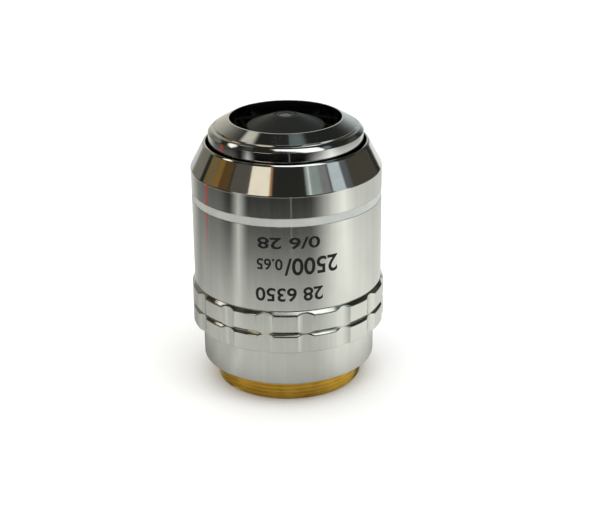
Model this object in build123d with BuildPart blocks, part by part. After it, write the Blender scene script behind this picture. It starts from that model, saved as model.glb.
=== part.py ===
from build123d import *
from math import sqrt
import os

# Microscope objective for reflected light, with a sprung front. Millimetres.
# z = 0 is the shoulder that seats on the nosepiece, and +Z runs to the front lens.
# Two bodies: the housing, and the nose that slides in it. Radii are chained outwards and
# inwards from the mounting thread, and heights are stacked from the shoulder.

# Fits
screw_gap = 0.03          # radial gap of pieces that are screwed or pressed together
running_gap = 0.04        # radial gap of the nose tube in its guide
cement = 0.02             # layer between cemented glasses, and round a filled band

# Mounting ring and lower sleeve
thread_r = 13.0           # 26 mm mounting thread, drawn at its major diameter
thread_length = 4.2
thread_chamfer = 0.3
relief_depth = 0.45       # groove that the thread runs out in, in a recess of the shoulder
relief_height = 0.3
recess_width = 0.9
mount_wall = 1.3
mount_flange_height = 3.4
mount_seat_depth = 2.6    # depth of the recess that the guide spider drops into
mount_seat_step = 1.0
shoulder_width = 2.3
sleeve_height = 6.85
sleeve_wall = 0.9
sleeve_lip = 1.2
edge_break = 0.15

# Fluted grip ring
grip_overhang = 1.8
grip_wall = 4.0
lower_row_height = 3.0
row_groove_width = 1.0
row_groove_depth = 0.45
row_groove_root = 0.4     # height of the groove's root above its lower edge
upper_row_height = 2.9
neck_height = 0.7
neck_depth = 0.75
spigot_length = 3.0
spigot_wall = 1.3
flute_count = 15
flute_depth = 0.4
flute_cutter_r = 3.1
flute_angle = -79.5       # azimuth of one flute, in degrees from +X

# Outer barrel, its colour band and the nose cone
barrel_setback = 0.5
barrel_length = 20.45
barrel_wall = 1.4
band_drop = 3.7           # from the top of the barrel down to the band
band_width = 1.45
band_depth = 0.25
band_recess = 0.04
cone_overhang = 0.2       # before the foot is rounded
cone_edge = 0.25          # radius of the rounded foot
cone_height = 4.8
cone_lip_height = 0.25
cone_lip_wall = 0.48
cone_lip_bevel = 0.25

# Front collar
collar_setback = 3.15
collar_gap = 0.5
collar_rise = 1.75
collar_chamfer = 0.57
rim_land = 0.38           # sloping land inside the chamfer
rim_land_rise = 0.18
rim_groove = 0.25         # fine groove between that land and the foot of the bevel
rim_groove_depth = 0.1
bevel_step = 0.28         # from the land's inner edge up to the foot of the bevel
bevel_height = 1.25
lip_land = 0.23
front_gap = 2.92          # width of the ring of light round the black dome
collar_wall = 1.6
skirt_depth = 4.0
mirror_drop = 1.35        # from the collar's shoulder down to the ledge over the mirror
mirror_top_cover = 0.3
mirror_foot_wall = 0.7
mirror_bow = 0.25

# Nose tube, its slide and its spring
light_channel = 2.0
hub_wall = 1.0
guide_wall = 1.0
tube_wall = 1.56
tube_step = 0.66
travel = 2.2
nose_clearance = 1.0
stop_ring_height = 2.5
stop_ring_step = 0.5
stop_gap = 0.02
stop_bore_gap = 0.1
rear_lip = 1.0
rear_lip_width = 2.1
wire_r = 0.4
spring_margin = 0.3
spring_turns = 5
guide_screw_r = 0.8
guide_screw_drop = 8.0
guide_screw_tip = 0.45
guide_slot_depth = 0.7
guide_slot_gap = 0.05
guide_slot_end = 0.25

# Spiders, rings and spanner slots
web_count = 3
web_width = 1.4
web_angle = 90            # azimuth of one web, in degrees from +X
spider_height = 1.9
hub_height = 3.0
lock_ring_height = 1.4
lock_ring_wall = 1.4
spring_seat_height = 1.5
spring_seat_wall = 2.1
nose_spider_height = 3.2
nose_spider_wall = 0.9
nose_hub_wall = 1.2
slot_width = 1.0
slot_depth = 0.5

# Front cell and its two lenses
front_seat_rise = 2.3     # from the foot of the cone up to the front cell's seat
front_cell_step = 0.2
front_spigot = 2.5
front_spigot_wall = 1.2
dome_rise = 1.8
dome_edge_radius = 0.3
dome_drop = 1.45          # from the collar's lip down to the edge of the front cell
nose_flat_r = 2.15        # flat at the top of the dome, with a ring turned in it
nose_groove_outer_r = 1.98
nose_groove_inner_r = 1.72
nose_groove_depth = 0.15
window_r = 1.0
window_depth = 0.3
front_lens_r = 1.5
front_lens_inset = 0.08
front_lens_height = 2.3
meniscus_r = 3.4
meniscus_edge = 0.8
meniscus_drop = 3.7       # from the front face down to the meniscus lens's seat
meniscus_front_sag = -0.5
meniscus_rear_sag = -1.3
meniscus_ring_height = 1.2
chamber_wall = 0.9

# Lens groups in the nose tube, from the front to the rear. Each has the wall outside the
# glass, the lip behind it, how far the cell stands above the rim of its front glass, the
# thickness of each glass at its edge, and the sag of each surface: a positive sag bulges
# towards the front.
lens_rim = 0.4
lip_clearance = 0.05
doublet_wall = 2.1
doublet_lip = 0.8
doublet_rise = 0.7
doublet_crown_edge = 0.8
doublet_flint_edge = 2.2
doublet_front_sag = 0.9
doublet_cement_sag = -1.1
doublet_rear_sag = 0.3
triplet_wall = 1.4
triplet_lip = 0.7
triplet_rise = 0.7
triplet_front_edge = 0.7
triplet_middle_edge = 3.2
triplet_rear_edge = 0.7
triplet_front_sag = 1.1
triplet_upper_cement_sag = -1.3
triplet_lower_cement_sag = 1.2
triplet_rear_sag = -0.8
second_doublet_wall = 1.4
second_doublet_lip = 0.8
second_doublet_rise = 1.4
second_crown_edge = 0.8
second_flint_edge = 1.8
second_front_sag = 0.8
second_cement_sag = -0.9
second_rear_sag = 0.2
stop_thickness = 0.4
stop_width = 2.47         # from the outside of the aperture stop in to its hole
spacer_length = 3.2
spacer_wall = 1.0
rear_wall = 1.8
rear_cell_lip = 0.6
rear_rise = 0.1
rear_flint_edge = 2.0
rear_crown_edge = 0.9
rear_front_sag = -0.7
rear_cement_sag = 0.6
rear_back_sag = 0.2

# Radii worked out from the thread
mount_bore_r = thread_r - mount_wall
mount_seat_r = mount_bore_r + mount_seat_step
recess_r = thread_r + recess_width
sleeve_r = thread_r + shoulder_width
sleeve_bore_r = sleeve_r - sleeve_wall
grip_r = sleeve_r + grip_overhang
grip_bore_r = grip_r - grip_wall
barrel_r = grip_r - barrel_setback
barrel_bore_r = barrel_r - barrel_wall
collar_r = barrel_r - collar_setback
cone_bore_r = collar_r + collar_gap
collar_bore_r = collar_r - collar_wall
hub_r = mount_bore_r - light_channel
guide_r = hub_r - hub_wall
guide_bore_r = guide_r - guide_wall
tube_r = guide_bore_r - running_gap
tube_bore_r = tube_r - tube_wall
neck_r = tube_r - tube_step
cell_r = tube_bore_r - screw_gap
front_cell_r = neck_r - front_cell_step
opening_r = front_cell_r + front_gap

# Heights worked out from the shoulder
mount_flange_z = sleeve_lip
mount_top_z = mount_flange_z + mount_flange_height
spider_z = mount_top_z - mount_seat_depth
row_groove_z = sleeve_height + lower_row_height
upper_row_z = row_groove_z + row_groove_width
neck_z = upper_row_z + upper_row_height
barrel_z = neck_z + neck_height
cone_z = barrel_z + barrel_length
cone_top_z = cone_z + cone_height
collar_edge_z = cone_top_z + collar_rise
rim_z = collar_edge_z + collar_chamfer
bevel_z = rim_z + rim_land_rise + bevel_step
lip_z = bevel_z + bevel_height
dome_edge_z = lip_z - dome_drop
front_z = dome_edge_z + dome_rise
mirror_top_z = collar_edge_z - mirror_drop
skirt_z = cone_z - skirt_depth
mirror_z = skirt_z + nose_spider_height
guide_top_z = skirt_z - travel - nose_clearance
stop_z = guide_top_z - stop_ring_height
front_seat_z = cone_z + front_seat_rise
stack_z = front_seat_z - front_spigot
doublet_length = doublet_rise + doublet_crown_edge + doublet_flint_edge + doublet_lip
doublet_z = stack_z - doublet_length
triplet_glass = triplet_front_edge + triplet_middle_edge + triplet_rear_edge
triplet_length = triplet_rise + triplet_glass + triplet_lip
triplet_z = doublet_z - triplet_length
second_glass = second_crown_edge + second_flint_edge
second_doublet_length = second_doublet_rise + second_glass + second_doublet_lip
second_doublet_z = triplet_z - second_doublet_length
aperture_z = second_doublet_z - stop_thickness
spacer_z = aperture_z - spacer_length
rear_length = rear_rise + rear_flint_edge + rear_crown_edge + rear_cell_lip
rear_cell_z = spacer_z - rear_length
tube_z = rear_cell_z - rear_lip
spring_z = spider_z + spring_seat_height
guide_screw_z = stop_z - guide_screw_drop


def half_section(points):
    """Closed half-section through (radius, height) points, ready to turn about Z."""
    with BuildSketch(Plane.XZ) as section:
        with BuildLine():
            Polyline(*points, close=True)
        make_face()
    return section.sketch


def tube_section(inner_r, outer_r, bottom_z, top_z):
    """Rectangular half-section of a plain ring or tube."""
    return half_section(
        [(inner_r, bottom_z), (outer_r, bottom_z), (outer_r, top_z), (inner_r, top_z)]
    )


def spanner_slots(inner_r, outer_r, top_z):
    """Two slots across a ring's top face, for a pin spanner."""
    with BuildSketch(Plane.XY.offset(top_z)) as slots:
        with PolarLocations((inner_r + outer_r) / 2, 2):
            Rectangle(2 * (outer_r - inner_r), slot_width)
    return slots.sketch


def webs(inner_r, outer_r, bottom_z):
    """Flat webs that join a hub to the ring round it, ending inside both walls."""
    with BuildSketch(Plane.XY.offset(bottom_z)) as pattern:
        with PolarLocations((inner_r + outer_r) / 2, web_count, start_angle=web_angle):
            Rectangle(outer_r - inner_r, web_width)
    return pattern.sketch


def arc_height(r, rim_r, sag):
    """Height above its rim of a spherical surface of the given sag, at radius r."""
    sphere_r = (rim_r**2 + sag**2) / (2 * abs(sag))
    rise = sqrt(sphere_r**2 - r**2) - (sphere_r - abs(sag))
    return rise if sag > 0 else -rise


def lens_section(lens_r, rim, top_z, top_sag, bottom_z, bottom_sag):
    """Half-section of a lens with spherical faces and a flat rim ground on each."""
    clear_r = lens_r - rim
    half_r = clear_r / 2
    top_mid = (half_r, top_z + arc_height(half_r, clear_r, top_sag))
    bottom_mid = (half_r, bottom_z + arc_height(half_r, clear_r, bottom_sag))
    with BuildSketch(Plane.XZ) as section:
        with BuildLine():
            ThreePointArc((0, top_z + top_sag), top_mid, (clear_r, top_z))
            Polyline((clear_r, top_z), (lens_r, top_z), (lens_r, bottom_z), (clear_r, bottom_z))
            ThreePointArc((clear_r, bottom_z), bottom_mid, (0, bottom_z + bottom_sag))
            Line((0, bottom_z + bottom_sag), (0, top_z + top_sag))
        make_face()
    return section.sketch


# Mounting ring: brass, threaded outside up to a relief groove, with a flange that the lower
# sleeve traps.
flange_r = sleeve_bore_r - screw_gap
with BuildPart() as mount_ring:
    revolve(
        half_section(
            [
                (mount_bore_r, -thread_length),
                (thread_r - thread_chamfer, -thread_length),
                (thread_r, -thread_length + thread_chamfer),
                (thread_r, 0),
                (thread_r - relief_depth, 0),
                (thread_r - relief_depth, relief_height),
                (recess_r, relief_height),
                (recess_r, mount_flange_z),
                (flange_r, mount_flange_z),
                (flange_r, mount_top_z),
                (mount_seat_r, mount_top_z),
                (mount_seat_r, spider_z),
                (mount_bore_r, spider_z),
            ]
        ),
        axis=Axis.Z,
    )

# Lower sleeve: its flat end is the shoulder, and its inner lip carries the mounting ring.
with BuildPart() as lower_sleeve:
    revolve(
        half_section(
            [
                (recess_r + screw_gap, 0),
                (sleeve_r - edge_break, 0),
                (sleeve_r, edge_break),
                (sleeve_r, sleeve_height),
                (sleeve_bore_r, sleeve_height),
                (sleeve_bore_r, sleeve_lip),
                (recess_r + screw_gap, sleeve_lip),
            ]
        ),
        axis=Axis.Z,
    )

# Grip ring: two rows of lands and flutes over one body, with a V groove between the rows,
# a polished neck above them, and a spigot at each end.
upper_spigot_r = barrel_bore_r - screw_gap
with BuildPart() as grip_ring:
    revolve(
        half_section(
            [
                (grip_bore_r, mount_top_z),
                (flange_r, mount_top_z),
                (flange_r, sleeve_height),
                (grip_r - edge_break, sleeve_height),
                (grip_r, sleeve_height + edge_break),
                (grip_r, row_groove_z),
                (grip_r - row_groove_depth, row_groove_z + row_groove_root),
                (grip_r, upper_row_z),
                (grip_r, neck_z),
                (grip_r - neck_depth, barrel_z),
                (upper_spigot_r, barrel_z),
                (upper_spigot_r, barrel_z + spigot_length),
                (upper_spigot_r - spigot_wall, barrel_z + spigot_length),
                (upper_spigot_r - spigot_wall, barrel_z),
                (grip_bore_r, neck_z),
            ]
        ),
        axis=Axis.Z,
    )
    with BuildSketch(Plane.XY.offset(sleeve_height)):
        with PolarLocations(grip_r - flute_depth + flute_cutter_r, flute_count, flute_angle):
            Circle(flute_cutter_r)
    extrude(amount=barrel_z - sleeve_height, mode=Mode.SUBTRACT)

# Outer barrel: a plain tube with a shallow groove for the colour band.
band_top_z = cone_z - band_drop
band_z = band_top_z - band_width
band_floor_r = barrel_r - band_depth
with BuildPart() as outer_barrel:
    revolve(
        half_section(
            [
                (barrel_bore_r, barrel_z),
                (barrel_r - edge_break, barrel_z),
                (barrel_r, barrel_z + edge_break),
                (barrel_r, band_z),
                (band_floor_r, band_z),
                (band_floor_r, band_top_z),
                (barrel_r, band_top_z),
                (barrel_r, cone_z),
                (barrel_bore_r, cone_z),
            ]
        ),
        axis=Axis.Z,
    )

# Colour band: enamel that fills the groove, a little below the barrel's surface.
with BuildPart() as colour_band:
    revolve(
        tube_section(
            band_floor_r + cement, barrel_r - band_recess, band_z + cement, band_top_z - cement
        ),
        axis=Axis.Z,
    )

# Nose cone: screwed into the barrel, with a rounded foot and a thin lip round the collar.
cone_r = barrel_r + cone_overhang
cone_lip_r = cone_bore_r + cone_lip_wall
cone_lip_z = cone_top_z - cone_lip_height
with BuildPart() as nose_cone:
    with BuildSketch(Plane.XZ):
        with BuildLine():
            foot = (cone_r, cone_z)
            shoulder = (cone_lip_r, cone_lip_z)
            outline = FilletPolyline((upper_spigot_r, cone_z), foot, shoulder, radius=cone_edge)
            Polyline(
                outline @ 1,
                (cone_lip_r - cone_lip_bevel, cone_top_z),
                (cone_bore_r, cone_top_z),
                (cone_bore_r, cone_z - spigot_length),
                (upper_spigot_r, cone_z - spigot_length),
                outline @ 0,
            )
        make_face()
    revolve(axis=Axis.Z)

# Guide spider: a ring in the mounting ring's recess, with a hub on webs, so that light for
# the dark field passes round the hub.
spider_ring_r = mount_seat_r - screw_gap
with BuildPart() as guide_spider:
    revolve(
        tube_section(mount_bore_r, spider_ring_r, spider_z, spider_z + spider_height),
        axis=Axis.Z,
    )
    revolve(
        tube_section(guide_r + screw_gap, hub_r, spider_z, spider_z + hub_height), axis=Axis.Z
    )
    extrude(
        webs(hub_r - hub_wall / 2, mount_bore_r + mount_seat_step / 2, spider_z),
        amount=spider_height,
    )

# Spider ring: screwed in over the guide spider, flush with the mounting ring.
spider_top_z = spider_z + spider_height
with BuildPart() as spider_ring:
    revolve(
        tube_section(mount_bore_r, spider_ring_r, spider_top_z, mount_top_z), axis=Axis.Z
    )
    extrude(
        spanner_slots(mount_bore_r, spider_ring_r, mount_top_z),
        amount=-(mount_top_z - spider_top_z) / 2,
        mode=Mode.SUBTRACT,
    )

# Guide sleeve: the fixed tube that the nose tube slides in, drilled for its guide screw.
stop_ring_r = guide_bore_r + stop_ring_step
with BuildPart() as guide_sleeve:
    revolve(
        half_section(
            [
                (guide_bore_r, spider_z),
                (guide_r, spider_z),
                (guide_r, guide_top_z),
                (stop_ring_r, guide_top_z),
                (stop_ring_r, stop_z),
                (guide_bore_r, stop_z),
            ]
        ),
        axis=Axis.Z,
    )
    with BuildSketch(Plane.XZ):
        with Locations((0, guide_screw_z)):
            Circle(guide_screw_r + screw_gap)
    extrude(amount=-(guide_r + guide_wall), mode=Mode.SUBTRACT)

# Guide screw: keeps the nose tube from turning. Its outer end is flush with the sleeve.
guide_screw_inner = tube_r - guide_screw_tip
with BuildPart() as guide_screw:
    with BuildSketch(Plane.XZ.offset(-guide_screw_inner)):
        with Locations((0, guide_screw_z)):
            Circle(guide_screw_r)
    extrude(amount=-(guide_r - running_gap - guide_screw_inner))

# Lock ring: locks the guide sleeve in the hub once the focus is set.
lock_ring_z = spider_z + hub_height
lock_ring_r = guide_r + lock_ring_wall
with BuildPart() as lock_ring:
    revolve(
        tube_section(guide_r + screw_gap, lock_ring_r, lock_ring_z, lock_ring_z + lock_ring_height),
        axis=Axis.Z,
    )
    extrude(
        spanner_slots(guide_r, lock_ring_r, lock_ring_z + lock_ring_height),
        amount=-slot_depth,
        mode=Mode.SUBTRACT,
    )

# Spring seat: screwed into the rear of the guide sleeve.
seat_r = guide_bore_r - screw_gap
with BuildPart() as spring_seat:
    revolve(tube_section(seat_r - spring_seat_wall, seat_r, spider_z, spring_z), axis=Axis.Z)
    extrude(
        spanner_slots(seat_r - spring_seat_wall, seat_r, spider_z),
        amount=slot_depth,
        mode=Mode.SUBTRACT,
    )

# Return spring: round wire with ends ground flat on the seat and on the nose tube.
coil_r = guide_bore_r - spring_margin - wire_r
spring_length = tube_z - spring_z
with BuildPart() as return_spring:
    with BuildLine(Plane.XY.offset(spring_z)):
        coil = Helix(pitch=spring_length / spring_turns, height=spring_length, radius=coil_r)
    with BuildSketch(Plane(origin=coil @ 0, z_dir=coil % 0)):
        Circle(wire_r)
    sweep(path=coil, is_frenet=True)
    with BuildSketch(Plane.XY.offset(spring_z)):
        Circle(guide_bore_r)
    extrude(amount=spring_length, mode=Mode.INTERSECT)

# Stop ring: screwed into the top of the guide sleeve, where it keeps the nose tube in.
with BuildPart() as stop_ring:
    revolve(
        tube_section(neck_r + stop_bore_gap, stop_ring_r - screw_gap, stop_z, guide_top_z),
        axis=Axis.Z,
    )
    extrude(
        spanner_slots(neck_r + stop_bore_gap, stop_ring_r, guide_top_z),
        amount=-slot_depth,
        mode=Mode.SUBTRACT,
    )

# Nose tube: slides in the guide sleeve and holds the lens cells between its rear lip and
# the front cell. A slot in its side takes the guide screw.
slot_bottom_z = guide_screw_z - guide_screw_r - guide_slot_end
slot_top_z = guide_screw_z + guide_screw_r + travel + guide_slot_end
with BuildPart() as nose_tube:
    revolve(
        half_section(
            [
                (tube_bore_r - rear_lip_width, tube_z),
                (tube_r, tube_z),
                (tube_r, stop_z - stop_gap),
                (neck_r, stop_z - stop_gap),
                (neck_r, front_seat_z),
                (tube_bore_r, front_seat_z),
                (tube_bore_r, rear_cell_z),
                (tube_bore_r - rear_lip_width, rear_cell_z),
            ]
        ),
        axis=Axis.Z,
    )
    with BuildSketch(Plane.XZ.offset(-(tube_r - guide_slot_depth))):
        with Locations((0, (slot_bottom_z + slot_top_z) / 2)):
            SlotOverall(
                slot_top_z - slot_bottom_z, 2 * (guide_screw_r + guide_slot_gap), rotation=90
            )
    extrude(amount=-2 * guide_slot_depth, mode=Mode.SUBTRACT)

# Nose spider: screwed on the nose tube, it carries the collar on webs across the light.
nose_ring_r = collar_bore_r - screw_gap
nose_ring_inner_r = nose_ring_r - nose_spider_wall
nose_hub_r = neck_r + screw_gap + nose_hub_wall
with BuildPart() as nose_spider:
    revolve(tube_section(nose_ring_inner_r, nose_ring_r, skirt_z, mirror_z), axis=Axis.Z)
    revolve(tube_section(neck_r + screw_gap, nose_hub_r, skirt_z, mirror_z), axis=Axis.Z)
    extrude(
        webs(
            nose_hub_r - nose_hub_wall / 2, nose_ring_inner_r + nose_spider_wall / 2, skirt_z
        ),
        amount=nose_spider_height,
    )

# Front collar: polished, with a chamfer, a land, a fine groove and a bevel up to the lip
# round the ring of light.
ledge_r = opening_r + mirror_top_cover
rim_r = collar_r - collar_chamfer
rim_inner_r = rim_r - rim_land
bevel_r = rim_inner_r - rim_groove
groove_floor_z = rim_z + rim_land_rise - rim_groove_depth
with BuildPart() as front_collar:
    revolve(
        half_section(
            [
                (collar_bore_r, skirt_z),
                (collar_r, skirt_z),
                (collar_r, collar_edge_z),
                (rim_r, rim_z),
                (rim_inner_r, rim_z + rim_land_rise),
                (rim_inner_r, groove_floor_z),
                (bevel_r, groove_floor_z),
                (bevel_r, bevel_z),
                (opening_r + lip_land, lip_z),
                (opening_r, lip_z),
                (ledge_r, mirror_top_z),
                (collar_bore_r, mirror_top_z),
            ]
        ),
        axis=Axis.Z,
    )

# Ring mirror: bends the ring of light in to the specimen. Its inner face is bowed.
mirror_foot_r = nose_ring_r - mirror_foot_wall
mirror_mid = (
    (mirror_foot_r + ledge_r) / 2 + mirror_bow,
    (mirror_z + mirror_top_z) / 2,
)
with BuildPart() as ring_mirror:
    with BuildSketch(Plane.XZ):
        with BuildLine():
            ThreePointArc((mirror_foot_r, mirror_z), mirror_mid, (ledge_r, mirror_top_z))
            Polyline(
                (ledge_r, mirror_top_z),
                (nose_ring_r, mirror_top_z),
                (nose_ring_r, mirror_z),
                (mirror_foot_r, mirror_z),
            )
        make_face()
    revolve(axis=Axis.Z)

# Front cell: a black cone with a rounded edge and a small flat round the tiny front lens,
# hollow behind for the meniscus lens.
meniscus_z = front_z - meniscus_drop
meniscus_bore_r = meniscus_r + screw_gap
lens_floor_z = front_z - window_depth
lens_bore_r = front_lens_r + screw_gap
nose_groove_z = front_z - nose_groove_depth
with BuildPart() as front_cell:
    with BuildSketch(Plane.XZ):
        with BuildLine():
            slope = FilletPolyline(
                (front_cell_r, front_seat_z),
                (front_cell_r, dome_edge_z),
                (nose_flat_r, front_z),
                radius=dome_edge_radius,
            )
            Polyline(
                slope @ 1,
                (nose_groove_outer_r, front_z),
                (nose_groove_outer_r, nose_groove_z),
                (nose_groove_inner_r, nose_groove_z),
                (nose_groove_inner_r, front_z),
                (window_r + screw_gap, front_z),
                (window_r + screw_gap, lens_floor_z),
                (lens_bore_r, lens_floor_z),
                (lens_bore_r, front_z - front_lens_height),
                (meniscus_r - chamber_wall, meniscus_z),
                (meniscus_bore_r, meniscus_z),
                (meniscus_bore_r, front_seat_z),
                (cell_r - front_spigot_wall, front_seat_z),
                (cell_r - front_spigot_wall, stack_z),
                (cell_r, stack_z),
                (cell_r, front_seat_z),
                slope @ 0,
            )
        make_face()
    revolve(axis=Axis.Z)

# Front lens: a small block of glass with a flat face to the specimen and a round back.
lens_face_z = front_z - front_lens_inset
lens_back_z = front_z - front_lens_height
with BuildPart() as front_lens:
    with BuildSketch(Plane.XZ):
        with BuildLine():
            Polyline(
                (0, lens_back_z),
                (0, lens_face_z),
                (window_r, lens_face_z),
                (window_r, lens_floor_z - cement),
                (front_lens_r, lens_floor_z - cement),
                (front_lens_r, lens_back_z + front_lens_r),
            )
            RadiusArc(
                (front_lens_r, lens_back_z + front_lens_r), (0, lens_back_z), front_lens_r
            )
        make_face()
    revolve(axis=Axis.Z)

# Meniscus lens and the ring that holds it in the front cell.
meniscus_bottom_z = meniscus_z - meniscus_edge
with BuildPart() as meniscus_lens:
    revolve(
        lens_section(
            meniscus_r,
            lens_rim + lip_clearance,
            meniscus_z,
            meniscus_front_sag,
            meniscus_bottom_z,
            meniscus_rear_sag,
        ),
        axis=Axis.Z,
    )

with BuildPart() as meniscus_ring:
    revolve(
        tube_section(
            meniscus_r - lens_rim,
            meniscus_r,
            meniscus_bottom_z - meniscus_ring_height,
            meniscus_bottom_z,
        ),
        axis=Axis.Z,
    )


def lens_group(cell_name, bottom_z, length, wall, lip, glasses, sags):
    """Cell with a rear lip and the cemented glasses in it, as a dictionary of parts."""
    lens_r = cell_r - wall
    group = {}
    with BuildPart() as cell:
        revolve(
            half_section(
                [
                    (lens_r - lens_rim + lip_clearance, bottom_z),
                    (cell_r, bottom_z),
                    (cell_r, bottom_z + length),
                    (lens_r + screw_gap, bottom_z + length),
                    (lens_r + screw_gap, bottom_z + lip),
                    (lens_r - lens_rim + lip_clearance, bottom_z + lip),
                ]
            ),
            axis=Axis.Z,
        )
    group[cell_name] = cell
    top_z = bottom_z + lip + sum(glasses.values())
    for (glass_name, edge), top_sag, bottom_sag in zip(glasses.items(), sags, sags[1:]):
        with BuildPart() as glass:
            revolve(
                lens_section(
                    lens_r, lens_rim, top_z, top_sag, top_z - edge + cement, bottom_sag
                ),
                axis=Axis.Z,
            )
        group[glass_name] = glass
        top_z -= edge
    return group


# The four groups behind the front cell, each a cell that slides into the nose tube.
doublet = lens_group(
    "doublet_cell",
    doublet_z,
    doublet_length,
    doublet_wall,
    doublet_lip,
    {"doublet_crown_lens": doublet_crown_edge, "doublet_flint_lens": doublet_flint_edge},
    [doublet_front_sag, doublet_cement_sag, doublet_rear_sag],
)
triplet = lens_group(
    "triplet_cell",
    triplet_z,
    triplet_length,
    triplet_wall,
    triplet_lip,
    {
        "triplet_front_lens": triplet_front_edge,
        "triplet_middle_lens": triplet_middle_edge,
        "triplet_rear_lens": triplet_rear_edge,
    },
    [triplet_front_sag, triplet_upper_cement_sag, triplet_lower_cement_sag, triplet_rear_sag],
)
second_doublet = lens_group(
    "second_doublet_cell",
    second_doublet_z,
    second_doublet_length,
    second_doublet_wall,
    second_doublet_lip,
    {"second_crown_lens": second_crown_edge, "second_flint_lens": second_flint_edge},
    [second_front_sag, second_cement_sag, second_rear_sag],
)
rear_group = lens_group(
    "rear_cell",
    rear_cell_z,
    rear_length,
    rear_wall,
    rear_cell_lip,
    {"rear_flint_lens": rear_flint_edge, "rear_crown_lens": rear_crown_edge},
    [rear_front_sag, rear_cement_sag, rear_back_sag],
)

# Aperture stop: a thin black washer between the second doublet and the spacer.
with BuildPart() as aperture_stop:
    revolve(
        tube_section(cell_r - stop_width, cell_r, aperture_z, second_doublet_z), axis=Axis.Z
    )

# Spacer tube: sets the distance to the rear group.
with BuildPart() as spacer_tube:
    revolve(tube_section(cell_r - spacer_wall, cell_r, spacer_z, aperture_z), axis=Axis.Z)

pieces = {
    "mount_ring": mount_ring,
    "lower_sleeve": lower_sleeve,
    "grip_ring": grip_ring,
    "outer_barrel": outer_barrel,
    "colour_band": colour_band,
    "nose_cone": nose_cone,
    "guide_spider": guide_spider,
    "spider_ring": spider_ring,
    "guide_sleeve": guide_sleeve,
    "guide_screw": guide_screw,
    "lock_ring": lock_ring,
    "spring_seat": spring_seat,
    "return_spring": return_spring,
    "stop_ring": stop_ring,
    "nose_tube": nose_tube,
    "nose_spider": nose_spider,
    "front_collar": front_collar,
    "ring_mirror": ring_mirror,
    "front_cell": front_cell,
    "front_lens": front_lens,
    "meniscus_lens": meniscus_lens,
    "meniscus_ring": meniscus_ring,
    **doublet,
    **triplet,
    **second_doublet,
    "aperture_stop": aperture_stop,
    "spacer_tube": spacer_tube,
    **rear_group,
}

os.makedirs("parts", exist_ok=True)
for name, piece in pieces.items():
    piece.part.label = name
    export_step(piece.part, f"parts/{name}.step")
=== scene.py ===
import bmesh
import bpy
from math import atan2, cos, exp, log, pi, radians, sin, sqrt, tan, tau
from mathutils import Matrix, Vector


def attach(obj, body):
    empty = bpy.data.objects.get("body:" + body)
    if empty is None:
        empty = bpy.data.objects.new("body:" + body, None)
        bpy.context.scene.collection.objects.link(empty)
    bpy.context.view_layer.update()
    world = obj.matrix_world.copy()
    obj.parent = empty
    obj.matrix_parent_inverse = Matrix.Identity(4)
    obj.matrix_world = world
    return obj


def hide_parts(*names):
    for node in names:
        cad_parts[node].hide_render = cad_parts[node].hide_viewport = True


# A reflected-light microscope objective that stands nose-up on its brass thread. The sections
# follow it from the thread up to the front lens, and then through its inside. Sizes are in
# millimetres, and z is 0 at the shoulder over the thread, as in the CAD model.

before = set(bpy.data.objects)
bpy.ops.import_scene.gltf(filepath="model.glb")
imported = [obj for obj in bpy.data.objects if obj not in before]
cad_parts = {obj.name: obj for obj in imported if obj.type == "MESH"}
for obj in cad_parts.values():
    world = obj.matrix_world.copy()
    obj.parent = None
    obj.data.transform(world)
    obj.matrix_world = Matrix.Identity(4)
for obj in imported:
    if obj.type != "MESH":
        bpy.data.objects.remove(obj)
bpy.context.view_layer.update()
mm = 0.001

# Camera: it looks down at the objective by 22.7 degrees from 258 mm away, with a long lens,
# and it is rolled by a little over half a degree.
aim = Vector((2.211, 0, 17.07))
tilt = radians(22.70)
roll = radians(-0.63)
distance = 257.97
stand = aim + distance * Vector((0, -cos(tilt), sin(tilt)))
camera = bpy.data.objects.new("camera", bpy.data.cameras.new("camera"))
bpy.context.scene.collection.objects.link(camera)
camera.matrix_world = (
    Matrix.Translation(stand * mm)
    @ Matrix.Rotation(pi / 2 - tilt, 4, "X")
    @ Matrix.Rotation(roll, 4, "Z")
)
camera.data.sensor_width = 36
camera.data.lens = 86.59
camera.data.clip_start = 0.01
bpy.context.scene.camera = camera
bpy.context.scene.view_settings.view_transform = "Standard"


# Studio: a room that polished metal mirrors. A wide panel hangs overhead on the right, boards
# stand round the objective, the wall behind is bright, and it is dark round the camera, which
# itself sees plain white.
world = bpy.data.worlds.new("studio")
bpy.context.scene.world = world
world.use_nodes = True
world.node_tree.nodes.clear()


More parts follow.
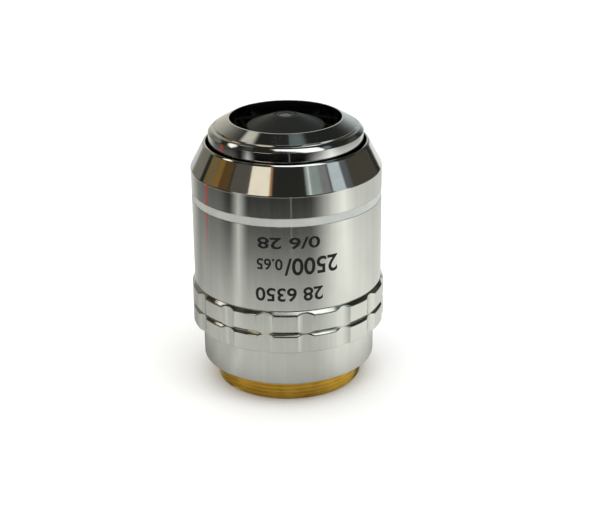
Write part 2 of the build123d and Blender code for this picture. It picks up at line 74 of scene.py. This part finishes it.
class Wire:
    """A socket in a node tree. Arithmetic on it adds Math nodes, and node() adds any other."""

    def __init__(self, tree, socket=None):
        self.tree = tree
        self.socket = socket

    def node(self, kind, settings=None, inputs=None, output=0):
        made = self.tree.nodes.new("ShaderNode" + kind)
        for name, value in (settings or {}).items():
            setattr(made, name, value)
        for name, value in (inputs or {}).items():
            if isinstance(value, Wire):
                self.tree.links.new(value.socket, made.inputs[name])
            else:
                made.inputs[name].default_value = value
        return Wire(self.tree, made.outputs[output] if made.outputs else None)

    def maths(self, operation, *values):
        return self.node("Math", {"operation": operation}, dict(enumerate(values)))

    def __add__(self, other):
        return self.maths("ADD", self, other)

    def __sub__(self, other):
        return self.maths("SUBTRACT", self, other)

    def __mul__(self, other):
        return self.maths("MULTIPLY", self, other)

    def __rsub__(self, other):
        return self.maths("SUBTRACT", other, self)

    __radd__ = __add__
    __rmul__ = __mul__

    def fade(self, start, end):
        """0 at start, 1 at end, and smooth between them."""
        ends = {"Value": self, "From Min": start, "From Max": end}
        return self.node("MapRange", {"interpolation_type": "SMOOTHSTEP"}, ends)

    def blend(self, first, second):
        """The first colour where this wire is 0, and the second where it is 1."""
        return self.node("Mix", {"data_type": "RGBA"}, {0: self, 6: first, 7: second}, 2)

    def parts(self):
        """The three numbers of a vector."""
        split = self.node("SeparateXYZ", None, {0: self}).socket.node
        return [Wire(self.tree, socket) for socket in split.outputs]

    def stretched(self, x, y, z):
        """A vector with each of its three numbers scaled."""
        return self.node("Mapping", None, {"Vector": self, "Scale": (x, y, z)})

    def noise(self, scale, detail):
        """Noise at a place."""
        return self.node("TexNoise", None, {"Vector": self, "Scale": scale, "Detail": detail})

    def bump(self, strength, depth):
        """The normal of a surface with this wire as its relief, of a depth in metres."""
        relief = {"Height": self, "Strength": strength, "Distance": depth}
        return self.node("Bump", None, relief)


def grey(level):
    return (level, level, level, 1)


def strip(value, middle, half_width, softness):
    """1 where a value is near the middle of a strip, and 0 beyond the strip's soft edges."""
    away = value.maths("ABSOLUTE", value - middle)
    return away.fade(half_width + softness / 2, half_width - softness / 2)


# Bearings and heights are in degrees. A bearing is 0 towards the camera and grows to its right.
sky = Wire(world.node_tree)
east, north, up = sky.node("TexCoord", output="Generated").parts()
turn = east.maths("ARCTAN2", east, 0 - north) * (180 / pi)
height = up.maths("ARCSINE", up) * (180 / pi)
room = height.fade(55, 30).blend((0.022, 0.024, 0.022, 1), (0.028, 0.028, 0.024, 1))
# The wall behind: its left and right parts, and the middle that joins them.
rear_left = turn.fade(-122, -172) * height.fade(58, 20)
rear_right = turn.fade(140, 170) * height.fade(45, 8)
rear_middle = turn.maths("ABSOLUTE", turn).fade(168, 179) * height.fade(52, 14)
room = rear_left.blend(room, (0.66, 0.64, 0.54, 1))
room = rear_right.blend(room, (0.60, 0.66, 0.66, 1))
room = rear_middle.blend(room, (0.63, 0.65, 0.60, 1))
# Each board: bearing and half its width, height and half its height, the softness of its
# edge, and its colour.
boards = [
    (-132, 11, 8, 22, 2, (0.22, 0.21, 0.165, 1)),
    (-105, 9, 12, 16, 2, (0.20, 0.145, 0.06, 1)),
    (-93, 4, 16, 16, 3, (0.27, 0.15, 0.035, 1)),
    (-82, 7, 18, 16, 5, (0.12, 0.07, 0.025, 1)),
    (-61, 12, 22, 22, 3, (0.11, 0.10, 0.085, 1)),
    (-35, 13.5, 26, 18, 1.5, (1.10, 1.00, 0.78, 1)),
    (-20, 1.5, 26, 18, 2, (0.45, 0.22, 0.08, 1)),
    (37, 11, 28, 14, 3, (0.32, 0.38, 0.35, 1)),
    (31, 1.5, 28, 14, 2, (0.75, 0.80, 0.74, 1)),
    (52, 6, 28, 14, 4, (0.24, 0.25, 0.235, 1)),
    (69, 9, 18, 24, 2, (0.62, 0.70, 0.71, 1)),
    (84, 6, 18, 20, 3, (0.13, 0.14, 0.145, 1)),
    (112, 24, 12, 20, 6, (0.075, 0.07, 0.052, 1)),
    (-57, 8, -6, 9, 4, (1.6, 1.6, 1.6, 1)),
    (68, 12, -8, 10, 4, (1.2, 1.2, 1.2, 1)),
    (-107, 7, 42, 5, 2, (1.5, 1.45, 1.35, 1)),
    (-140, 6, 56, 5, 4, (0.72, 0.70, 0.58, 1)),
    (157, 16, 73, 4, 4, (0.15, 0.19, 0.19, 1)),
    (88, 7, 52, 4, 4, (0.20, 0.24, 0.24, 1)),
    (-82, 8, 54, 5, 4, (0.08, 0.075, 0.06, 1)),
]
for bearing, half_width, level, half_height, softness, colour in boards:
    inside = strip(turn, bearing, half_width, softness)
    inside = inside * strip(height, level, half_height, softness)
    room = inside.blend(room, colour)
# The overhead panel is a rectangle on the ceiling, with its corner nearest the camera left.
ceiling_x = east.maths("DIVIDE", east, up)
ceiling_y = north.maths("DIVIDE", north, up)
panel_skew = 0.235
panel = strip(ceiling_x, 0.30, 0.50, 0.06)
panel = panel * strip(ceiling_y + ceiling_x * panel_skew, -0.16, 0.195, 0.01)
room = (panel * up.fade(0.3, 0.4)).blend(room, (1.75, 1.8, 1.78, 1))
seen = sky.node("LightPath", output="Is Camera Ray")
glow = sky.node("Background", None, {"Color": seen.blend(room, grey(1))})
sky.node("OutputWorld", None, {"Surface": glow})

# Lamp: one wide soft light from above for what is matt. Metal mirrors the panels instead, so
# the lamp is hidden from reflections.
lamp = bpy.data.objects.new("overhead_lamp", bpy.data.lights.new("overhead_lamp", "SUN"))
bpy.context.scene.collection.objects.link(lamp)
lamp.data.energy = 3.0
lamp.data.angle = radians(120)
lamp.visible_glossy = False


# Floor: pale paper that the objective stands on. The camera sees it plain white. Every other
# ray finds painted light and shade in its colour: window light at both sides, painted shade
# close round the objective, darker further off, and black inside the thread, where no light
# comes.
def paper(start):
    # Its tones go by bearing, and by distance from the axis in metres: near is up to 40 mm,
    # middle is round 110 mm, and far is past 150 mm.
    x, y = start.node("TexCoord", output="Object").parts()[:2]
    away = x.maths("SQRT", x * x + y * y)
    turn = x.maths("ARCTAN2", x, 0 - y) * (180 / pi)
    # Painted light: the windows' light at both sides, and the brighter right-hand side, are
    # paler paper by bearing.
    painted_left_window_light = strip(turn, -55, 2, 22)
    painted_right_window_light = strip(turn, 68, 6, 32)
    right_side = turn.fade(24, 58)
    behind = turn.fade(-162, -180)
    near = turn.fade(-100, -58) * 0.22 + painted_left_window_light * 0.16 + right_side * 0.30
    near = near - turn.fade(80, 125) * 0.20 - turn.fade(138, 165) * 0.08 + 0.36
    near = near + turn.fade(-120, -150) * 0.10 - behind * 0.08
    near = near + strip(turn, -95, 20, 20) * 0.11
    # Painted shade: the paper is darkened close round the objective, and black inside the
    # thread, where no light comes.
    near = near * (1 - away.fade(0.030, 0.018) * 0.35) * away.fade(0.0105, 0.0125)
    middle = painted_left_window_light * 0.92 + right_side * 0.70 + painted_right_window_light * 0.42
    middle = middle - turn.fade(80, 125) * 0.10 - turn.fade(138, 165) * 0.18
    middle = middle + turn.fade(-96, -160) * 0.55 - behind * 0.13
    middle = middle + strip(turn, -95, 20, 20) * 0.12
    far = strip(turn, -54, 1, 14) * 0.28 + turn.fade(36, 60) * 0.28
    far = far + strip(turn, 65, 5, 24) * 0.6
    far = far + turn.fade(126, 152) * 0.42 + turn.fade(-118, -152) * 0.5
    far = far + turn.fade(-160, -178) * 0.2 + 0.012
    tone = near * away.fade(0.113, 0.042) + middle * away.fade(0.042, 0.113)
    tone = tone * away.fade(0.158, 0.128) + far * away.fade(0.128, 0.158)
    mirrored = tone.blend((0, 0, 0, 1), (1, 1, 0.97, 1))
    # Painted reflection: a strip of red lamp light painted on the paper, for the metal to
    # mirror.
    painted_red_lamp_glow = strip(turn, -104, 2, 2) * away.fade(0.070, 0.115)
    mirrored = painted_red_lamp_glow.blend(mirrored, (0.42, 0.05, 0.03, 1))
    # Painted highlight: a thin pale streak painted on the paper past 80 mm, for the metal to
    # mirror.
    painted_pale_streak = strip(turn, 5, 0.5, 1) * away.fade(0.080, 0.110) * 0.25
    mirrored = painted_pale_streak.blend(mirrored, (0.9, 0.85, 0.7, 1))
    seen = start.node("LightPath", output="Is Camera Ray")
    return {
        "Base Color": seen.blend(mirrored, grey(1)),
        "Roughness": 1,
        "Specular IOR Level": 0,
    }


def material(name, recipe):
    """A material whose Principled shader takes the inputs that recipe(start) returns."""
    made = bpy.data.materials.new(name)
    made.use_nodes = True
    made.node_tree.nodes.clear()
    start = Wire(made.node_tree)
    shader = start.node("BsdfPrincipled", None, recipe(start))
    start.node("OutputMaterial", None, {"Surface": shader})
    return made


floor_z = -4.21
floor_shape = bmesh.new()
bmesh.ops.create_circle(floor_shape, cap_ends=True, segments=128, radius=0.6)
bmesh.ops.translate(floor_shape, vec=(0, 0, floor_z * mm), verts=floor_shape.verts[:])
floor = bpy.data.objects.new("floor", bpy.data.meshes.new("floor"))
floor_shape.to_mesh(floor.data)
floor.data.materials.append(material("paper", paper))
bpy.context.scene.collection.objects.link(floor)


# Mounting ring: lacquered brass with a 26 mm, 36 threads to the inch thread. The thread runs
# out in a relief groove under the sleeve, and a flange above it holds the ring in the sleeve.
pitch = 25.4 / 36
thread_r = 13.0
thread_root = 12.57
thread_end = -4.2
flank = (thread_r - thread_root) * tan(radians(30))
root_flat = 0.12
lead_in = 0.3
bore_r = 11.7


def brass(start):
    place = start.node("TexCoord", output="Object")
    turning = place.stretched(300, 300, 9000)
    marks = turning.noise(1.0, 3.0)
    stain = place.noise(260.0, 4.0)
    tone = stain.fade(0.35, 0.70).blend((1.0, 0.74, 0.22, 1), (0.88, 0.62, 0.16, 1))
    return {
        "Base Color": tone,
        "Metallic": 1.0,
        "Roughness": marks * 0.12 + 0.16,
        "Anisotropic": 0.8,
        "Anisotropic Rotation": 0.25,
        "Normal": marks.bump(0.25, 0.00002),
    }


thread = bmesh.new()
rise = [
    (thread_root, 0),
    (thread_root, root_flat),
    (thread_r, root_flat + flank),
    (thread_r, pitch - flank),
    (thread_root, pitch),
]
spots = [thread.verts.new((r, 0, thread_end - pitch + z)) for r, z in rise]
for low, high in zip(spots, spots[1:]):
    thread.edges.new((low, high))
steps = 128
thread_turns = 8
bmesh.ops.spin(
    thread,
    geom=thread.verts[:] + thread.edges[:],
    axis=(0, 0, 1),
    cent=(0, 0, 0),
    dvec=(0, 0, pitch / steps),
    angle=tau * thread_turns,
    steps=steps * thread_turns,
)
bmesh.ops.remove_doubles(thread, verts=thread.verts[:], dist=0.001)
for end, side in ((thread_end, -1), (0, 1)):
    bmesh.ops.bisect_plane(
        thread,
        geom=thread.verts[:] + thread.edges[:] + thread.faces[:],
        plane_co=(0, 0, end),
        plane_no=(0, 0, side),
        clear_outer=True,
    )


def fitted(name, shape, finish, body):
    """The piece made of a shape in mm, finished, and riding on its body."""
    bmesh.ops.scale(shape, vec=(mm, mm, mm), verts=shape.verts[:])
    bmesh.ops.recalc_face_normals(shape, faces=shape.faces[:])
    for face in shape.faces:
        face.smooth = True
    piece = bpy.data.objects.new(name, bpy.data.meshes.new(name))
    shape.to_mesh(piece.data)
    piece.data.materials.append(finish)
    bpy.context.scene.collection.objects.link(piece)
    even = piece.modifiers.new("even_shading", "WEIGHTED_NORMAL")
    even.keep_sharp = True
    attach(piece, body)
    return piece


def ring_edges(shape, z):
    """The open edges of a shape at one height."""
    return [
        edge
        for edge in shape.edges
        if edge.is_boundary and all(abs(spot.co.z - z) < 1e-4 for spot in edge.verts)
    ]


def carried_on(shape, edges, corners):
    """Extrudes a ring of edges through circles of (radius, height), and returns the last."""
    for r, z in corners:
        grown = bmesh.ops.extrude_edge_only(shape, edges=edges)["geom"]
        edges = [item for item in grown if isinstance(item, bmesh.types.BMEdge)]
        edges = [edge for edge in edges if edge.is_boundary]
        for spot in {spot for edge in edges for spot in edge.verts}:
            flat = spot.co.xy.normalized() * r
            spot.co = (flat.x, flat.y, z)
    return edges


for spot in thread.verts:
    limit = thread_r - lead_in + (spot.co.z - thread_end)
    if spot.co.xy.length > limit:
        spot.co.xy = spot.co.xy.normalized() * limit
inner = carried_on(
    thread,
    ring_edges(thread, thread_end),
    [(bore_r + 0.2, thread_end), (bore_r, thread_end + 0.2), (bore_r, 1.9)],
)
outer = carried_on(
    thread,
    ring_edges(thread, 0),
    [
        (12.55, 0),
        (12.55, 0.3),
        (13.9, 0.3),
        (13.9, 1.2),
        (14.37, 1.2),
        (14.37, 4.6),
        (12.7, 4.6),
        (12.7, 2.0),
        (bore_r, 2.0),
    ],
)
bmesh.ops.bridge_loops(thread, edges=inner + outer)
lacquered = material("lacquered_brass", brass)
thread_ring = fitted("threaded_ring", thread, lacquered, "housing")
thread_ring.data.set_sharp_from_angle(angle=radians(25))
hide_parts("mount_ring")


# Lower sleeve: satin-chromed brass, turned to a fine finish. Its flat end is the shoulder
# that seats on the nosepiece, and its inner lip traps the brass ring.
def satin_chrome(start):
    place = start.node("TexCoord", output="Object")
    turning = place.stretched(200, 200, 14000)
    marks = turning.noise(1.0, 4.0)
    drawn = place.stretched(1800, 1800, 25)
    streaks = drawn.noise(1.0, 3.0)
    cloud = place.noise(150.0, 3.0)
    tone = streaks.fade(0.30, 0.75).blend((0.665, 0.675, 0.64, 1), (0.625, 0.635, 0.60, 1))
    tone = cloud.fade(0.45, 0.75).blend(tone, (0.61, 0.62, 0.58, 1))
    return {
        "Base Color": tone,
        "Metallic": 1.0,
        "Roughness": streaks * 0.05 + 0.10,
        "Anisotropic": 1.0,
        "Anisotropic Rotation": 0.25,
        "Normal": marks.bump(0.15, 0.00001),
    }


def turned_section(corners):
    """A half-section in mm, from corners of (radius, height) or (radius, height, rounding)."""
    shape = bmesh.new()
    spots = [(shape.verts.new((corner[0], 0, corner[1])), corner[2:]) for corner in corners]
    shape.faces.new([spot for spot, rounding in spots])
    for size in sorted({rounding[0] for spot, rounding in spots if rounding}):
        bmesh.ops.bevel(
            shape,
            geom=[spot for spot, rounding in spots if rounding and rounding[0] == size],
            offset=size,
            offset_type="OFFSET",
            segments=3,
            profile=0.5,
            affect="VERTICES",
            material=-1,
        )
    bmesh.ops.delete(shape, geom=shape.faces[:], context="FACES_ONLY")
    return shape


def turned(corners, steps=192):
    """A closed ring turned from a half-section."""
    shape = turned_section(corners)
    bmesh.ops.spin(
        shape,
        geom=shape.verts[:] + shape.edges[:],
        axis=(0, 0, 1),
        cent=(0, 0, 0),
        angle=tau,
        steps=steps,
        use_merge=True,
    )
    return shape


satin = material("satin_chrome", satin_chrome)
sleeve = fitted(
    "lower_sleeve_turned",
    turned(
        [
            (13.93, 0, 0.05),
            (15.3, 0, 0.15),
            (15.3, 6.85, 0.05),
            (14.4, 6.85),
            (14.4, 1.2),
            (13.93, 1.2),
        ]
    ),
    satin,
    "housing",
)
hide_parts("lower_sleeve")

# Grip ring: one piece of satin-chromed brass with two rows of fifteen flutes, a V groove
# between the rows and a polished slope above them. A spigot inside screws into the barrel.
grip_r = 17.1
spigot_clear_r = 15.5
flute_r = 3.1
flute_depth = 0.4
flute_count = 15
flute_line = grip_r - flute_depth + flute_r
flute_bearing = radians(-79.5)
# Where the columns of the mesh stand in each flute's share of the ring, in degrees from the
# flute's middle, so that some of them fall on the flute's edges.
columns = [0, 0.8, 1.6, 2.4, 3.2, 4.0, 4.5, 4.74, 4.98, 5.5, 7.0, 9.5, 12]
columns += [24 - angle for angle in reversed(columns[1:-1])]


def rounded_lesser(first, second, sharpness=40, about=16):
    """The lesser of two radii near a third, with a small rounding where they cross."""
    total = exp(-sharpness * (first - about)) + exp(-sharpness * (second - about))
    return -log(total) / sharpness + about


grip = turned(
    [
        (13.1, 4.6),
        (14.37, 4.6),
        (14.37, 6.85),
        (grip_r, 6.85, 0.18),
        (grip_r, 9.85, 0.12),
        *[(grip_r - depth, 9.85 + depth * 0.40 / 0.45) for depth in (0.20, 0.28, 0.36)],
        (16.65, 10.25, 0.03),
        *[(grip_r - depth, 10.85 - depth * 0.60 / 0.45) for depth in (0.36, 0.28, 0.20)],
        (grip_r, 10.85, 0.10),
        (grip_r, 13.75, 0.14),
        *[(grip_r - depth, 13.75 + depth * 0.70 / 0.75) for depth in (0.24, 0.32, 0.40, 0.50)],
        (16.35, 14.45, 0.05),
        (15.17, 14.45),
        (15.17, 17.45),
        (13.87, 17.45),
        (13.87, 14.45),
        (13.1, 13.75),
    ],
    len(columns) * flute_count,
)
for spot in grip.verts:
    column = round(atan2(spot.co.y, spot.co.x) / tau * len(columns) * flute_count)
    share, step = divmod(column, len(columns))
    offset = radians(columns[step])
    bearing = flute_bearing + share * tau / flute_count + offset
    from_flute = min(offset, tau / flute_count - offset)
    r = spot.co.xy.length
    reach = flute_r**2 - (flute_line * sin(from_flute)) ** 2
    if r > spigot_clear_r and reach > 0:
        r = rounded_lesser(r, flute_line * cos(from_flute) - sqrt(reach))
    spot.co.x = r * cos(bearing)
    spot.co.y = r * sin(bearing)
grip_ring = fitted("fluted_grip_ring", grip, satin, "housing")
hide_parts("grip_ring")

# Outer barrel: a satin-chromed brass tube, turned to a fine finish, with a shallow groove for
# the colour band. It screws on the grip ring.
barrel_r = 16.6
barrel = fitted(
    "satin_barrel",
    turned(
        [
            (15.2, 14.45),
            (barrel_r, 14.45, 0.15),
            (barrel_r, 29.75, 0.03),
            (16.35, 29.75),
            (16.35, 31.2),
            (barrel_r, 31.2, 0.03),
            (barrel_r, 34.9, 0.03),
            (15.2, 34.9),
        ]
    ),
    satin,
    "housing",
)
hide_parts("outer_barrel")


# Numbers: black ink fired on the front of the barrel, upside down because the objective
# stands on its thread. They are plain numbers in a narrow bold letter.
def ink(start):
    place = start.node("TexCoord", output="Object")
    grain = place.noise(9000.0, 2.0)
    tone = grain.fade(0.3, 0.8).blend((0.010, 0.011, 0.011, 1), (0.03, 0.03, 0.03, 1))
    return {
        "Base Color": tone,
        "Roughness": grain * 0.2 + 0.45,
        "Specular IOR Level": 0.2,
    }


black_ink = material("black_ink", ink)
# Each run: the figures, their cap height, the arc from its left end to its right end, and
# the height of its foot on the barrel.
runs = [
    ("28 6350", 2.5, -5.4, 6.2, 18.8),
    ("2500/", 3.1, -0.4, 8.9, 24.2),
    ("0.65", 2.05, -5.1, -0.7, 24.1),
    ("0/6 28", 2.05, -4.9, 5.7, 27.9),
]
ink_foot = 0.002
ink_height = 0.012
slice_width = 0.3
figures = bmesh.new()
for text, cap, left, right, foot in runs:
    letters = bpy.data.curves.new("letters", "FONT")
    letters.body = text
    letters.offset = 0.018
    holder = bpy.data.objects.new("letters", letters)
    bpy.context.scene.collection.objects.link(holder)
    bpy.context.view_layer.update()
    flat = bpy.data.meshes.new_from_object(holder)
    bpy.data.objects.remove(holder)
    run = bmesh.new()
    run.from_mesh(flat)
    bmesh.ops.remove_doubles(run, verts=run.verts[:], dist=1e-4)
    across = [spot.co.x for spot in run.verts]
    above = [spot.co.y for spot in run.verts]
    wide = (right - left) / (max(across) - min(across))
    tall = cap / (max(above) - min(above))
    for spot in run.verts:
        spot.co.x = right - (spot.co.x - min(across)) * wide
        spot.co.y = foot - (spot.co.y - min(above)) * tall
    cuts = int((right - left) / slice_width)
    for number in range(1, cuts):
        bmesh.ops.bisect_plane(
            run,
            geom=run.verts[:] + run.edges[:] + run.faces[:],
            plane_co=(left + number * (right - left) / cuts, 0, 0),
            plane_no=(1, 0, 0),
        )
    for spot in run.verts:
        bearing = spot.co.x / barrel_r
        r = barrel_r + ink_foot
        spot.co = (sin(bearing) * r, -cos(bearing) * r, spot.co.y)
    raised = bmesh.ops.extrude_face_region(run, geom=run.faces[:])["geom"]
    for spot in raised:
        if isinstance(spot, bmesh.types.BMVert):
            spot.co.xy *= 1 + ink_height / barrel_r
    run.to_mesh(flat)
    figures.from_mesh(flat)
numbers = fitted("barrel_numbers", figures, black_ink, "housing")
numbers.data.set_sharp_from_angle(angle=radians(30))


# Colour band: pale grey-white enamel that fills the groove and lies a little below the
# barrel's surface.
def enamel(start):
    place = start.node("TexCoord", output="Object")
    grain = place.noise(3000.0, 3.0)
    cloud = place.noise(300.0, 3.0)
    tone = cloud.fade(0.3, 0.75).blend((0.84, 0.87, 0.85, 1), (0.78, 0.81, 0.79, 1))
    return {
        "Base Color": tone,
        "Roughness": grain * 0.15 + 0.38,
        "Normal": grain.bump(0.2, 0.00002),
    }


band = fitted(
    "enamel_band",
    turned([(16.37, 29.77), (16.56, 29.77, 0.04), (16.56, 31.18, 0.04), (16.37, 31.18)]),
    material("band_enamel", enamel),
    "housing",
)
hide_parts("colour_band")


# Nose cone: brass, polished and bright-chromed, with a rounded foot that stands a little
# proud of the barrel and a thin lip round the collar. It screws into the barrel.
def bright_chrome(start):
    place = start.node("TexCoord", output="Object")
    turning = place.stretched(400, 400, 9000)
    marks = turning.noise(1.0, 4.0)
    haze = place.noise(500.0, 5.0)
    tone = haze.fade(0.35, 0.75).blend((0.67, 0.675, 0.67, 1), (0.63, 0.63, 0.62, 1))
    return {
        "Base Color": tone,
        "Metallic": 1.0,
        "Roughness": haze * 0.06 + 0.06,
        "Anisotropic": 0.8,
        "Anisotropic Rotation": 0.25,
        "Normal": marks.bump(0.10, 0.00001),
    }


bright = material("bright_chrome", bright_chrome)
cone = fitted(
    "polished_cone",
    turned(
        [
            (15.17, 34.9),
            (16.66, 34.9, 0.03),
            (16.66, 35.17, 0.10),
            (14.43, 39.45, 0.05),
            (14.18, 39.7, 0.05),
            (13.95, 39.7, 0.05),
            (13.95, 31.9),
            (15.17, 31.9),
        ]
    ),
    bright,
    "housing",
)
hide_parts("nose_cone")

# Front collar: bright-chromed brass that slides in the cone's mouth with the sprung nose. It
# has a chamfer, a land, a fine groove, and a bevel up to the lip round the ring of light.
collar = fitted(
    "bevelled_collar",
    turned(
        [
            (11.85, 30.9),
            (13.45, 30.9),
            (13.45, 41.45, 0.04),
            (12.88, 42.02, 0.04),
            (12.5, 42.2, 0.03),
            (12.5, 42.1),
            (12.25, 42.1),
            (12.25, 42.48, 0.03),
            (9.95, 43.73, 0.03),
            (9.72, 43.73, 0.03),
            (10.02, 40.1),
            (11.85, 40.1),
        ]
    ),
    bright,
    "nose",
)
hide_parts("front_collar")


# Front cell: brass, painted dull black against stray light. It is a low cone with a rounded
# edge, and a small flat at its top, with a ring turned in it, holds the front lens.
def black_paint(start):
    place = start.node("TexCoord", output="Object")
    grain = place.noise(6000.0, 3.0)
    dust = start.node("TexVoronoi", None, {"Vector": place, "Scale": 900.0}, "Distance")
    tone = grain.fade(0.35, 0.75).blend((0.009, 0.010, 0.009, 1), (0.014, 0.015, 0.013, 1))
    return {
        "Base Color": dust.fade(0.10, 0.05).blend(tone, (0.05, 0.05, 0.045, 1)),
        "Roughness": grain * 0.15 + 0.40,
        "Specular IOR Level": 0.3,
        "Normal": grain.bump(0.3, 0.00003),
    }


dull_black = material("dull_black_paint", black_paint)
front_cell = fitted(
    "black_front_cell",
    turned(
        [
            (6.8, 37.2),
            (6.8, 42.28, 0.25),
            (2.15, 44.08, 0.05),
            (1.98, 44.08, 0.02),
            (1.98, 43.93),
            (1.72, 43.93),
            (1.72, 44.08, 0.02),
            (1.03, 44.08, 0.08),
            (1.03, 43.78),
            (1.53, 43.78),
            (1.53, 41.78),
            (2.5, 40.38),
            (3.43, 40.38),
            (3.43, 37.2),
            (4.87, 37.2),
            (4.87, 34.7),
            (6.07, 34.7),
            (6.07, 37.2),
        ]
    ),
    dull_black,
    "nose",
)
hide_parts("front_cell")


# Lenses: polished and coated optical glass, cemented into their cells. The coating gives
# them a faint amber sheen.
def coated_glass(start):
    place = start.node("TexCoord", output="Object")
    wipe = place.noise(1500.0, 3.0)
    return {
        # Painted shade: the grey that the glass passes darkens the view through the lenses.
        "Base Color": (0.70, 0.72, 0.66, 1),
        "Roughness": wipe * 0.02,
        "IOR": 1.52,
        "Transmission Weight": 1.0,
        "Specular Tint": (1.0, 0.72, 0.42, 1),
    }


glass = material("coated_glass", coated_glass)


# Inner metalwork: the cells, tubes, spiders and rings are brass blackened in an oxide bath,
# with brighter edges where they have been handled.
def blackened(start):
    place = start.node("TexCoord", output="Object")
    grain = place.noise(2500.0, 4.0)
    tone = grain.fade(0.3, 0.8).blend((0.010, 0.010, 0.010, 1), (0.022, 0.021, 0.020, 1))
    return {
        "Base Color": tone,
        "Metallic": 0.3,
        "Roughness": grain * 0.2 + 0.5,
    }


oxide = material("blackened_brass", blackened)


# Spring and guide screw: bright drawn steel. The spring is wound from round wire, with its
# ends ground flat, and presses the nose tube forward. The screw keeps the tube from turning.
def drawn_steel(start):
    place = start.node("TexCoord", output="Object")
    grain = place.noise(4000.0, 3.0)
    tone = grain.fade(0.3, 0.8).blend((0.52, 0.52, 0.53, 1), (0.42, 0.42, 0.43, 1))
    return {
        "Base Color": tone,
        "Metallic": 1.0,
        "Roughness": grain * 0.15 + 0.22,
    }


steel = material("drawn_steel", drawn_steel)


# Ring mirror: a turned aluminium ring with a polished hollow face that bends the ring of light
# in to the specimen. It sits inside the front collar.
def silvered(start):
    place = start.node("TexCoord", output="Object")
    haze = place.noise(800.0, 3.0)
    tone = haze.fade(0.3, 0.8).blend((0.88, 0.89, 0.90, 1), (0.84, 0.85, 0.86, 1))
    return {
        "Base Color": tone,
        "Metallic": 1.0,
        "Roughness": haze * 0.04 + 0.03,
    }


mirror = material("mirror_face", silvered)
# Each node of the CAD model takes its finish. Those that a piece above stands for are hidden.
for name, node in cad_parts.items():
    if name.endswith("_lens"):
        finish = glass
    elif name in ("return_spring", "guide_screw"):
        finish = steel
    elif name == "ring_mirror":
        finish = mirror
    else:
        finish = oxide
    node.data.materials.clear()
    node.data.materials.append(finish)
